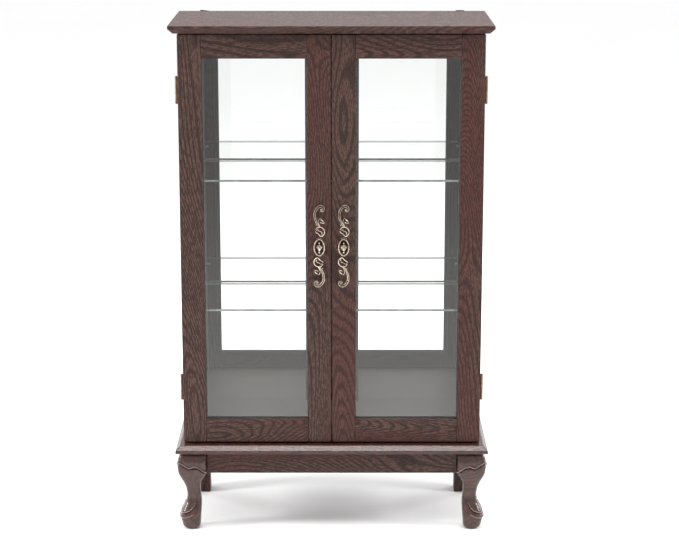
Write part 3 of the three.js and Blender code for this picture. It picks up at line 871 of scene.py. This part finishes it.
class CABINET_OT_hinges(bpy.types.Operator):
    """Make the butt hinges: leaves with rolled knuckles, pins and screws"""

    bl_idname = "cabinet.hinges"
    bl_label = "Hinges"

    def execute(self, context):
        brass = metal_finish("aged_brass", context.scene.cabinet_finishes.brass, 0.32, 0.45)
        for side, hand in SIDES:
            for level in LEVELS:
                self.hinge(context, hand, f"{level}_{side}_hinge", brass)
        return {"FINISHED"}

    def hinge(self, context, hand, name, brass):
        pin_low, pin_high = low_high(f"{name}_pin")
        leaf_low, leaf_high = low_high(f"{name}_frame_leaf")
        axis = Vector(((pin_low.x + pin_high.x) / 2, (pin_low.y + pin_high.y) / 2, 0))
        bottom, top = leaf_low.z, leaf_high.z
        third = (top - bottom) / 3
        bore, gap = 1.5 * MM, 0.25 * MM
        leaf_inner = leaf_low.x if hand > 0 else leaf_high.x
        screw = context.scene.cabinet_hardware.leaf_screw
        for kind, facing in (("frame_leaf", 1), ("door_leaf", -1)):
            bm = bmesh.new()
            for i in range(3):
                if (i % 2 == 0) == (kind == "frame_leaf"):
                    start, end = bottom + i * third, bottom + (i + 1) * third
                    knuckle(bm, axis, start + gap, end - gap, bore)
            near, far = 0.3 * MM, 1.5 * MM
            faces_y = sorted((axis.y + facing * near, axis.y + facing * far))
            edges_x = sorted((axis.x - hand * 3.1 * MM, leaf_inner))
            block(bm, Vector((edges_x[0], faces_y[0], bottom)), Vector((edges_x[1], faces_y[1], top)))
            for i in range(3):
                if (i % 2 == 0) == (kind == "frame_leaf"):
                    start, end = bottom + i * third + gap, bottom + (i + 1) * third - gap
                    neck_x = sorted((axis.x - hand * 1.9 * MM, axis.x - hand * 3.2 * MM))
                    block(bm, Vector((neck_x[0], faces_y[0], start)), Vector((neck_x[1], faces_y[1], end)))
            body = BODIES[f"{name}_{kind}"]
            piece(f"{name}_{kind}_rolled", bm, [brass], body, [f"{name}_{kind}"])
            heads = bmesh.new()
            middle_x = (axis.x - hand * 4 * MM + leaf_inner) / 2
            for share in (0.18, 0.82):
                spot = Vector((middle_x, axis.y, bottom + share * (top - bottom)))
                spot.y += facing * near
                cross_head(heads, spot, Vector((0, -facing, 0)), screw, 0.22 * MM, cells=14)
            piece(f"{name}_{kind}_screws", heads, [brass], body)
        pin = bmesh.new()
        low, high = pin_low.z, pin_high.z
        radius, head = 1.2 * MM, 2.0 * MM
        turned(pin, (
            (0, low), (head * 0.6, low + 0.1 * MM), (head, low + 0.6 * MM), (head, bottom - 0.05 * MM),
            (radius, bottom - 0.05 * MM), (radius, top + 0.05 * MM), (head, top + 0.05 * MM),
            (head, high - 0.6 * MM), (head * 0.6, high - 0.1 * MM), (0, high),
        ), Matrix.Translation(axis))
        piece(f"{name}_turned_pin", pin, [brass], "cabinet", [f"{name}_pin"])


# Upper half of the pull's crook, in millimetres right of and above its middle.
CROOK = (
    (0.8, 37.0), (-2.6, 43.0), (-6.2, 49.5), (-8.2, 57.0), (-8.0, 65.0), (-4.6, 72.0), (0.8, 76.6),
    (6.0, 75.6), (8.4, 71.4), (6.4, 67.6), (3.2, 69.0), (4.0, 71.4),
)
# The scrolls beside the crook, placed the same way, and its leaves: across, up, long, wide and turn.
STEM = ((3.0, 37.0), (0.2, 42.0), (-1.6, 47.0), (-0.6, 52.0), (2.2, 54.4))
LEAVES = (
    (5.6, 50.6, 4.2, 1.5, 0.65), (7.6, 45.8, 3.2, 1.3, -0.25), (3.4, 46.2, 2.6, 1.2, 0.4),
    (-5.2, 42.4, 2.8, 1.2, -0.8),
)
HOOP = ((-6.8, 33.4), (-3.6, 37.0), (1.4, 38.0), (6.6, 36.0), (9.8, 31.0), (9.2, 25.0), (5.2, 20.6),
        (1.4, 21.6), (-1.8, 25.4), (-5.4, 27.4), (-7.4, 30.2))
CURL = ((5.2, 20.6), (5.6, 25.4), (3.6, 29.4), (-0.4, 30.8), (-3.0, 33.2), (-5.6, 31.6))
# Half the length over which the casting arches.
PULL_END = 84.0


class CABINET_OT_pulls(bpy.types.Operator):
    """Make the cast scroll pulls; both face the same way, as the castings do"""

    bl_idname = "cabinet.pulls"
    bl_label = "Pulls"

    def execute(self, context):
        dark = context.scene.cabinet_finishes.bronze_patina_and_shade
        finishes = [pull_finish(), metal_finish("bronze_ground", dark, 0.4, 0.5)]
        for side, _ in SIDES:
            low, high = low_high(f"{side}_pull")
            self.middle = (low + high) / 2
            self.middle.y = high.y
            bm = bmesh.new()
            self.ground(bm)
            for face in bm.faces:
                face.material_index = 1
            self.relief(bm, context.scene.cabinet_hardware.strand)
            piece(f"{side}_scroll_pull", bm, finishes, f"{side}_door", [f"{side}_pull"])
        return {"FINISHED"}

    def at(self, x, z, lift=0.0):
        """A point of the arched casting, from millimetres across and up from its middle."""
        depth = 3.5 + 12.5 * math.sqrt(max(0.0, 1 - (z / PULL_END) ** 2)) + lift
        return self.middle + Vector((x, -depth, z)) * MM

    def line(self, points, end, lift=0.0, steps=7):
        return smooth_path([self.at(end * x, end * z, lift) for x, z in points], steps)

    def ground(self, bm):
        """The dark hollows of the casting, and its posts."""
        for end in (-1, 1):
            crook = self.line(CROOK, end)
            strand(bm, crook, [1.5 * MM * min(1, 1.6 - 1.4 * i / len(crook)) for i in range(len(crook))])
            blob(bm, self.at(end * 4.4, end * 71.4, -0.4), Vector((2.6, 1.4, 2.6)) * MM)
            self.post(bm, end)
        blob(bm, self.at(0, -1, -1.2), Vector((6.4, 1.6, 12.5)) * MM, rows=14)

    def relief(self, bm, radius):
        """The ridges that stand forward of the hollows; their front faces get the pale bronze, partly rubbed
        finish and partly painted highlight.
        """
        for end in (-1, 1):
            for edge in (-1, 1):
                strand(bm, self.rail(end, edge), self.taper(len(CROOK) * 7 - 6, 0.95 * MM), 10)
            strand(bm, self.line(STEM, end, 0.8), self.taper(4 * 7 + 1, 1.0 * MM), 10)
            for x, z, long, wide, turn in LEAVES:
                blob(bm, self.at(end * x, end * z, 0.6), Vector((long, 1.2, wide)) * MM, turn)
            hoop = self.line(HOOP, end, 0.5)
            swell = [0.52 + 0.28 * math.sin(math.pi * i / len(hoop)) for i in range(len(hoop))]
            strand(bm, hoop, [radius * share for share in swell])
            strand(bm, self.line(CURL, end, 0.7), self.taper(5 * 7 + 1, 0.95 * MM), 10)
            blob(bm, self.at(end * 3.9, end * 71.0, 0.9), Vector((1.5, 1.2, 1.5)) * MM)
            for x in (-4.4, -1.4, 1.6, 4.6):
                spot = self.at(x, end * (17.8 - abs(x) * 0.35), 0.9)
                blob(bm, spot, Vector((1.15, 1.3, 1.15)) * MM, rows=6)
        self.medallion(bm)

    def taper(self, count, radius):
        return [radius * (1.0 - 0.45 * i / count) for i in range(count)]

    def rail(self, end, edge):
        """One raised edge of the crook, closing in on its middle toward the tip."""
        path = self.line(CROOK, end, 0.6)
        rail = []
        for i, point in enumerate(path):
            way = heading(path, i)
            across = Vector((way.z, 0, -way.x)).normalized()
            opening = math.sin(math.pi * min(0.5, 0.12 + 0.6 * i / len(path)))
            spread = 1.75 * opening * (1 - 0.6 * ease(i, 45, 77))
            rail.append(point + across * edge * spread * MM)
        return rail

    def post(self, bm, end):
        """A turned post from the door to the casting, on a small rose."""
        spot = self.at(end * -8.1, end * 62)
        foot = Vector((spot.x, self.middle.y, spot.z))
        reach = (foot - spot).length
        profile = ((0, 0), (4.2 * MM, 0), (4.4 * MM, 0.8 * MM), (3.0 * MM, 1.8 * MM),
                   (1.8 * MM, 3.4 * MM), (1.5 * MM, reach), (0, reach + 0.4 * MM))
        turned(bm, profile, along_normal(foot, Vector((0, -1, 0))), sides=20)

    def medallion(self, bm):
        """The oval in the middle: an open rim with a shell standing inside it."""
        turns = [2 * math.pi * i / 60 for i in range(61)]
        rim = [self.at(9.6 * math.cos(t), 15.4 * math.sin(t) - 0.8, 0.6) for t in turns]
        strand(bm, rim, [(1.05 + 0.2 * math.cos(2 * t)) * MM for t in turns], 10)
        for turn in (-0.9, -0.45, 0.0, 0.45, 0.9):
            tip = self.at(6.6 * math.sin(turn), 9.0 * math.cos(turn) - 5.0, 1.3)
            root = self.at(0, -8.5, 1.5)
            strand(bm, smooth_path([root, root.lerp(tip, 0.5) - Vector((0, 0.9 * MM, 0)), tip], 6),
                   [(0.55 + 0.06 * i) * MM for i in range(13)], 8)
        blob(bm, self.at(0, -10.4, 1.4), Vector((2.6, 1.3, 1.7)) * MM)
        blob(bm, self.at(0, 7.4, 1.0), Vector((1.6, 1.2, 2.2)) * MM)


class CABINET_OT_catch(bpy.types.Operator):
    """Make the double magnetic catch and the strike plates"""

    bl_idname = "cabinet.catch"
    bl_label = "Magnetic catch"

    def execute(self, context):
        tones = context.scene.cabinet_finishes
        steel = metal_finish("plated_steel_plate", tones.steel, 0.28, 0.3)
        shell = plastic_finish("catch_shell", (0.16, 0.12, 0.10), 0.5)
        low, high = low_high("magnetic_catch")
        body = softened("magnetic_catch", 0.6 * MM)
        piece("catch_body", body, [shell], "cabinet", ["magnetic_catch"])
        keepers = bmesh.new()
        for _, hand in SIDES:
            for row in (0.3, 0.7):
                z = low.z + row * (high.z - low.z)
                edges = sorted((hand * 4.5 * MM, hand * (high.x - 2.5 * MM)))
                block(keepers, Vector((edges[0], low.y - 0.9 * MM, z - 0.8 * MM)),
                      Vector((edges[1], low.y + 3 * MM, z + 0.8 * MM)))
        piece("catch_keepers", keepers, [steel], "cabinet")
        for side, _ in SIDES:
            node = f"{side}_strike_plate"
            strike_low, strike_high = low_high(node)
            piece(f"{node}_pressed", softened(node, 0.4 * MM), [steel], f"{side}_door", [node])
            middle = (strike_low + strike_high) / 2
            middle.y = strike_high.y
            head = bmesh.new()
            cross_head(head, middle, Vector((0, 1, 0)), 2.6 * MM, 0.5 * MM, cells=14)
            piece(f"{node}_screw", head, [steel], f"{side}_door")
        return {"FINISHED"}


# The heads in the batten: from its top and from its foot.
BATTEN_SCREW_DROP = 24 * MM
BATTEN_SCREW_RISE = 18 * MM
# The pins round a back panel: from its edges, and as shares of its height or width.
PIN_INSET = 4 * MM
PIN_INSET_BY_BATTEN = 3.6 * MM
PIN_SHARES_UP = (0.07, 0.36, 0.65, 0.93)
PIN_SHARES_TOP = (0.14, 0.62)
PIN_SHARES_BOTTOM = (0.16, 0.55, 0.9)


class CABINET_OT_back_screws(bpy.types.Operator):
    """Make the pan heads in the batten and the small heads round the back panels"""

    bl_idname = "cabinet.back_screws"
    bl_label = "Back screws"

    def execute(self, context):
        hardware = context.scene.cabinet_hardware
        steel = metal_finish("plated_steel_screw", context.scene.cabinet_finishes.steel, 0.26, 0.35)
        dark = metal_finish("panel_pin_steel", (0.42, 0.37, 0.33), 0.4, 0.4)
        low, high = low_high("back_batten")
        rows = {"upper": high.z - BATTEN_SCREW_DROP, "lower": low.z + BATTEN_SCREW_RISE}
        for row, z in rows.items():
            for side, hand in SIDES:
                bm = bmesh.new()
                spot = Vector((hand * hardware.batten_screw_spacing / 2, high.y, z))
                cross_head(bm, spot, Vector((0, 1, 0)), hardware.batten_screw, 2.4 * MM)
                piece(f"{row}_{side}_batten_screw", bm, [steel], "cabinet")
        for side, hand in SIDES:
            panel_low, panel_high = low_high(f"{side}_back_panel")
            inner, outer = sorted((abs(panel_low.x), abs(panel_high.x)))
            wide, tall = outer - inner, panel_high.z - panel_low.z
            columns = (inner + PIN_INSET_BY_BATTEN, outer - PIN_INSET)
            ends = ((panel_high.z - PIN_INSET, PIN_SHARES_TOP), (panel_low.z + PIN_INSET, PIN_SHARES_BOTTOM))
            spots = [(across, panel_low.z + tall * share) for across in columns for share in PIN_SHARES_UP]
            spots += [(inner + wide * share, z) for z, shares in ends for share in shares]
            bm = bmesh.new()
            for across, z in spots:
                cross_head(bm, Vector((hand * across, panel_high.y, z)), Vector((0, 1, 0)),
                           hardware.panel_pin, 0.7 * MM, cells=12)
            piece(f"{side}_panel_screws", bm, [dark], "cabinet")
        return {"FINISHED"}


# The straps: height from the top screw and distance off the back, in millimetres.
STRAP_ROUTE = ((13, 1), (0, 1), (-20, 1.4), (-48, 2.6), (-80, 3.4), (-115, 3.1), (-152, 2.4))
STRAP_SCREWS = (("top", 0, 1.8), ("end", -144, 3.2))
STRAP_SPACING = 502 * MM
STRAP_DROP = 12 * MM
STRAP_TILT = {"left": 0.09, "right": 0.0}
PLUG_LEAN = {"left": -0.65, "right": 0.19}
# The wall plug's head, from the top screw, and its length.
PLUG_PLACE = (0, 4.5 * MM, -159 * MM)
PLUG_LENGTH = 26 * MM
STRAP_WIDTH = 16.5 * MM
STRAP_THICKNESS = 1.4 * MM


class CABINET_OT_straps(bpy.types.Operator):
    """Make the webbing anti-tip straps with their washers, screws and wall plugs"""

    bl_idname = "cabinet.straps"
    bl_label = "Anti-tip straps"

    def execute(self, context):
        tones = context.scene.cabinet_finishes
        weave = webbing_finish()
        steel = metal_finish("plated_steel_washer", tones.steel, 0.22, 0.25)
        black = metal_finish("blackened_screw", (0.05, 0.05, 0.055), 0.4, 0.4)
        pale = plastic_finish("wall_plug_plastic", tones.plug, 0.48)
        for side, hand in SIDES:
            self.strap(context, side, hand, weave, steel, black, pale)
        return {"FINISHED"}

    def strap(self, context, side, hand, weave, steel, black, pale):
        back_y = low_high("top_board")[1].y
        top_z = low_high("top_board")[1].z
        hang = Matrix.Translation((hand * STRAP_SPACING / 2, back_y, top_z - STRAP_DROP))
        hang @= Matrix.Rotation(-hand * STRAP_TILT[side], 4, "Y")
        route = smooth_path([Vector((0, off * MM, up * MM)) for up, off in STRAP_ROUTE], 6)
        band = bmesh.new()
        rings = []
        for i, point in enumerate(route):
            tangent = heading(route, i).normalized()
            out = Vector((1, 0, 0)).cross(tangent)
            half, thick = STRAP_WIDTH / 2, STRAP_THICKNESS / 2
            ring = []
            for k in range(24):
                turn = 2 * math.pi * k / 24
                across = half * math.copysign(abs(math.cos(turn)) ** 0.35, math.cos(turn))
                off = thick * math.copysign(abs(math.sin(turn)) ** 0.6, math.sin(turn))
                ring.append(band.verts.new(hang @ (point + Vector((across, 0, 0)) + out * off)))
            rings.append(ring)
        loft(band, rings)
        band.faces.new(rings[0])
        band.faces.new(rings[-1])
        strap = piece(f"{side}_webbing_strap", band, [weave], "cabinet", [f"{side}_strap"])

        outward = hang.to_3x3() @ Vector((0, 1, 0))
        washer_radius = context.scene.cabinet_hardware.washer
        for end, up, off in STRAP_SCREWS:
            bm = bmesh.new()
            spot = hang @ Vector((0, off * MM, up * MM))
            inner, tall = 2.9 * MM, 1.1 * MM
            profile = (
                (inner, 0), (washer_radius, 0), (washer_radius, 0.35 * MM), (washer_radius - 0.8 * MM, tall),
                (inner + 0.7 * MM, tall), (inner, 0.4 * tall),
            )
            turned(bm, profile, along_normal(spot, outward), closed=True)
            piece(f"{side}_strap_{end}_washer", bm, [steel], "cabinet")
            head = bmesh.new()
            cross_head(head, spot, outward, 2.8 * MM, 0.9 * MM, cells=16)
            piece(f"{side}_strap_{end}_screw", head, [black], "cabinet")

        plug_bm = bmesh.new()
        long = PLUG_LENGTH
        profile = [(0, 0), (4.2 * MM, 0), (4.2 * MM, 1.3 * MM), (3.4 * MM, 1.6 * MM)]
        for i in range(7):
            at = 2.6 * MM + i * 2.4 * MM
            profile += [(3.0 * MM, at), (3.5 * MM, at + 1.2 * MM)]
        profile += [(3.1 * MM, 20 * MM), (2.2 * MM, long - 0.4 * MM), (1.6 * MM, long), (0, long)]
        down = hang @ Matrix.Translation(PLUG_PLACE) @ Matrix.Rotation(PLUG_LEAN[side], 4, "Y")
        down @= Matrix.Rotation(math.pi, 4, "X")
        turned(plug_bm, profile, down, sides=24)
        plug = piece(f"{side}_ribbed_wall_plug", plug_bm, [pale], "cabinet", [f"{side}_wall_plug"])
        path = [hang @ point for point in route]
        run = sum((b - a).length for a, b in zip(path, path[1:]))


LABEL_LEFT, LABEL_RIGHT = 76 * MM, 250 * MM
LABEL_BOTTOM, LABEL_TOP = 863 * MM, 946 * MM
LABEL_THICKNESS = 0.25 * MM
LABEL_CORNER = 5 * MM


class CABINET_OT_label(bpy.types.Operator):
    """Make the plain care label on the back"""

    bl_idname = "cabinet.label"
    bl_label = "Back label"

    def execute(self, context):
        back_y = low_high("right_back_panel")[1].y
        low = Vector((LABEL_LEFT, back_y, LABEL_BOTTOM))
        high = Vector((LABEL_RIGHT, back_y + LABEL_THICKNESS, LABEL_TOP))
        bm = bmesh.new()
        block(bm, low, high)
        corners = [e for e in bm.edges if abs(e.verts[0].co.y - e.verts[1].co.y) > 0.1 * MM]
        bmesh.ops.bevel(bm, geom=corners, offset=LABEL_CORNER, offset_type="OFFSET", segments=8,
                        profile=0.5, affect="EDGES", clamp_overlap=True)
        piece("care_label", bm, [label_finish(low, high)], "cabinet")
        return {"FINISHED"}


class CABINET_OT_stage(bpy.types.Operator):
    """Set up the camera, the pale floor and the soft light"""

    bl_idname = "cabinet.stage"
    bl_label = "Stage"

    def execute(self, context):
        settings = context.scene.cabinet_stage
        self.camera(context, settings)
        self.floor(settings)
        self.lights(context, settings)
        context.scene.view_settings.view_transform = "Standard"
        return {"FINISHED"}

    def camera(self, context, settings):
        data = bpy.data.cameras.new("studio_camera")
        data.lens = settings.focal_length
        data.sensor_width = 36
        data.clip_end = 200
        camera = bpy.data.objects.new("studio_camera", data)
        doors_y = low_high("left_door_top_rail")[0].y
        camera.location = (settings.camera_side, doors_y - settings.camera_distance, settings.camera_height)
        camera.rotation_euler = (math.pi / 2 - settings.camera_tilt, 0, 0)
        context.scene.collection.objects.link(camera)
        context.scene.camera = camera

    def floor(self, settings):
        half = settings.floor_size / 2
        bm = bmesh.new()
        bmesh.ops.create_grid(bm, x_segments=8, y_segments=8, size=half)
        mesh = bpy.data.meshes.new("studio_floor")
        bm.to_mesh(mesh)
        bm.free()
        finish = Finish("pale_floor")
        cloud = finish.noise(finish.place(), 0.8, 2.0)
        tint = settings.floor_colour
        base = finish.blend(cloud, [c * 0.985 for c in tint], [min(1, c * 1.015) for c in tint])
        mesh.materials.append(finish.output(finish.surface(base_color=base, roughness=0.85 + cloud * 0.05)))
        floor = bpy.data.objects.new("studio_floor", mesh)
        bpy.context.scene.collection.objects.link(floor)

    def lights(self, context, settings):
        world = bpy.data.worlds.new("white_studio")
        world.use_nodes = True
        world.node_tree.nodes["Background"].inputs["Color"].default_value = (1, 1, 1, 1)
        world.node_tree.nodes["Background"].inputs["Strength"].default_value = settings.sky
        context.scene.world = world
        target = Vector((0, 0, 0.5))
        lamps = (
            ("overhead", (0.0, -0.7, 3.0), 1.5, 85.0),
            ("left", (-2.6, -0.6, 1.3), 0.6, 56.0),
            ("right", (2.6, -0.4, 1.3), 0.6, 38.0),
            ("left rim", (-2.5, 1.7, 0.9), 0.7, 24.0),
            ("right rim", (2.5, 1.7, 0.9), 0.7, 24.0),
            ("rear", (0.4, 2.4, 3.4), 1.8, 6.0),
        )
        for name, place, size, power in lamps:
            data = bpy.data.lights.new(f"{name} softbox", "AREA")
            data.size = size
            data.energy = power
            lamp = bpy.data.objects.new(f"{name} softbox", data)
            lamp.location = place
            lamp.rotation_euler = (target - Vector(place)).to_track_quat("-Z", "Y").to_euler()
            context.scene.collection.objects.link(lamp)


STEPS = (
    CABINET_OT_stage, CABINET_OT_straps, CABINET_OT_boards, CABINET_OT_case_floor, CABINET_OT_front_legs,
    CABINET_OT_glazing, CABINET_OT_shelf_pins, CABINET_OT_hinges, CABINET_OT_pulls, CABINET_OT_catch,
    CABINET_OT_back_screws, CABINET_OT_label,
)
SETTINGS = {
    "cabinet_finishes": CabinetFinishes,
    "cabinet_joinery": CabinetJoinery,
    "cabinet_hardware": CabinetHardware,
    "cabinet_stage": CabinetStage,
}


class CABINET_PT_sidebar(bpy.types.Panel):
    """Lists the cabinet's pieces, finishes and sizes"""

    bl_idname = "CABINET_PT_sidebar"
    bl_label = "China Cabinet"
    bl_space_type = "VIEW_3D"
    bl_region_type = "UI"
    bl_category = "Cabinet"

    def draw(self, context):
        for step in STEPS:
            self.layout.operator(step.bl_idname)
        for name in SETTINGS:
            group = getattr(context.scene, name)
            box = self.layout.box()
            for prop in group.__annotations__:
                box.prop(group, prop)


def register():
    for group in SETTINGS.values():
        bpy.utils.register_class(group)
    for name, group in SETTINGS.items():
        setattr(bpy.types.Scene, name, PointerProperty(type=group))
    for step in (*STEPS, CABINET_PT_sidebar):
        bpy.utils.register_class(step)


def unregister():
    for step in reversed((*STEPS, CABINET_PT_sidebar)):
        bpy.utils.unregister_class(step)
    for name, group in reversed(SETTINGS.items()):
        delattr(bpy.types.Scene, name)
        bpy.utils.unregister_class(group)


def main():
    register()
    for step in STEPS:
        group, name = step.bl_idname.split(".")
        getattr(getattr(bpy.ops, group), name)()
    bpy.context.view_layer.update()


if __name__ == "__main__":
    main()
